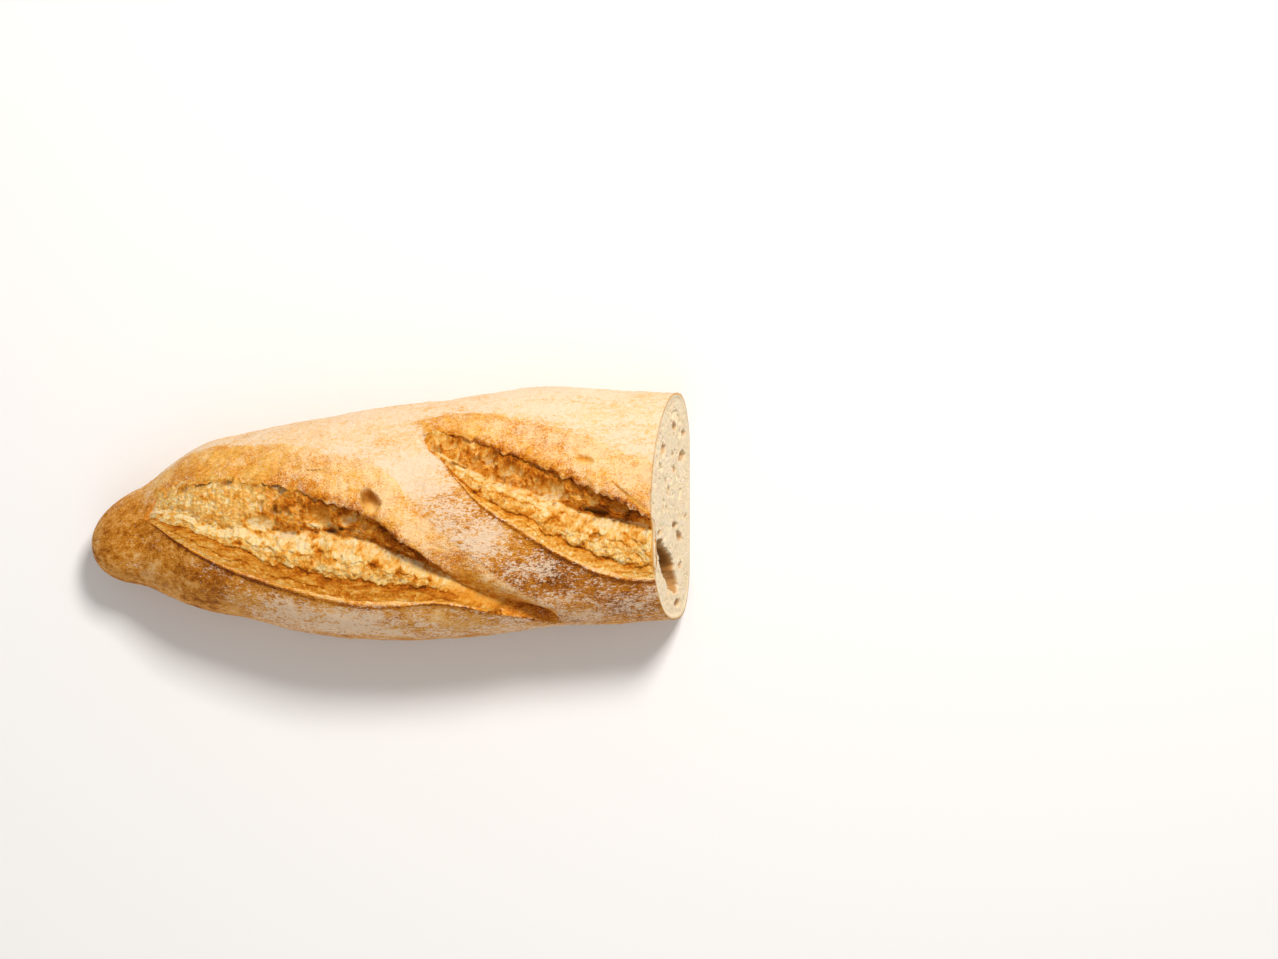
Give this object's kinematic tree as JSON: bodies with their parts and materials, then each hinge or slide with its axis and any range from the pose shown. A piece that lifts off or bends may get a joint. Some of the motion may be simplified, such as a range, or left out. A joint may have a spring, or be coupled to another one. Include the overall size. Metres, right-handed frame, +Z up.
{
  "type": "half baguette",
  "caption": "Crusty bread half loaf with a rounded closed nose, long torn slashes along the crown and a leaning cut face.",
  "frame": {"origin": "middle of the base of the bounding box, on the surface that the loaf lies on", "axes": "+X along the loaf from the closed nose to the cut face, +Y across it to the side with the upper edges of the slashes, +Z up"},
  "size_m": [0.2222, 0.0936, 0.0615],
  "materials": {
    "crust": "baked crust, golden in the torn slashes, dusted with pale flour on the rest, matte",
    "crumb": "cream open crumb of the cut face, matte"
  },
  "bodies": {
    "root": {"loaf": "crust"}
  },
  "joints": []
}
